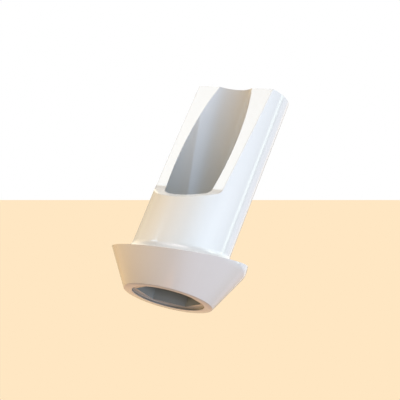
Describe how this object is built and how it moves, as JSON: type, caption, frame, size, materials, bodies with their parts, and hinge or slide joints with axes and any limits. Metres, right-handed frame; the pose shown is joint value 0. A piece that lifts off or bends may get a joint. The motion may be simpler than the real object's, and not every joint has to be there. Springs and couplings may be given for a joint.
{
  "type": "dental abutment",
  "caption": "Angled one-piece ceramic abutment: a flared collar on a hexagonal socket seat, and a leaning post with a milled flat that opens the screw channel.",
  "frame": {"origin": "in the plane of the implant seat, under the middle of the part's outline; the implant axis is parallel to Z and stands 0.553 mm in front of the origin, at x = 0, y = -0.553 mm", "axes": "+Z along the implant axis from the seat towards the post's top, -Y towards the milled flat and the open side of the screw channel, +Y the way the post leans, X = 0 the plane of symmetry"},
  "size_m": [0.0064, 0.007, 0.011],
  "materials": {
    "ceramic": "polished white zirconia"
  },
  "bodies": {
    "root": {"abutment": "ceramic"}
  },
  "joints": []
}
